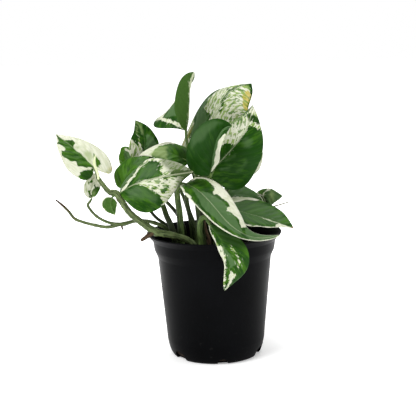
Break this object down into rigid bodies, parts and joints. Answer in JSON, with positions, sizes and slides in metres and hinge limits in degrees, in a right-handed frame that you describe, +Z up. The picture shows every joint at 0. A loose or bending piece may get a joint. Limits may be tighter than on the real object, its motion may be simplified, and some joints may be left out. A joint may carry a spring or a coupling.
{
  "type": "potted variegated pothos",
  "caption": "Small potted trailing aroid with heart-shaped green and cream leaves on arching stalks, in a round black nursery pot filled with soil.",
  "frame": {"origin": "centre of the pot's flat base, where it stands", "axes": "+Z up along the pot's axis; -Y towards the fullest side of the plant; +X to the right of a viewer on that side"},
  "size_m": [0.1855, 0.1461, 0.2261],
  "materials": {
    "pot_plastic": "satin",
    "soil": "matte",
    "stem": "satin",
    "dry_stem": "matte",
    "new_leaf": "satin",
    "leaf": "satin"
  },
  "bodies": {
    "root": {"pot": "pot_plastic", "soil": "soil", "vine": "stem", "thin_vine": "stem", "dry_sheath": "dry_stem", "dry_stalk": "dry_stem", "new_leaf": "new_leaf", "leaf_heart": "leaf", "leaf_broad": "leaf", "leaf_top": "leaf", "leaf_folded": "leaf", "leaf_upright": "leaf", "leaf_pale": "leaf", "leaf_left": "leaf", "leaf_low_left": "leaf", "leaf_behind_left": "leaf", "leaf_far_left": "leaf", "leaf_young": "leaf", "leaf_small_under": "leaf", "leaf_arching": "leaf", "leaf_hanging": "leaf", "leaf_right": "leaf", "leaf_right_behind": "leaf", "leaf_curled": "leaf", "leaf_behind_right": "leaf", "leaf_back_left": "leaf", "leaf_back_high_left": "leaf", "leaf_back_high": "leaf", "leaf_back_middle": "leaf", "leaf_back_right": "leaf", "leaf_back_low_left": "leaf", "leaf_back_low_right": "leaf"}
  },
  "joints": []
}
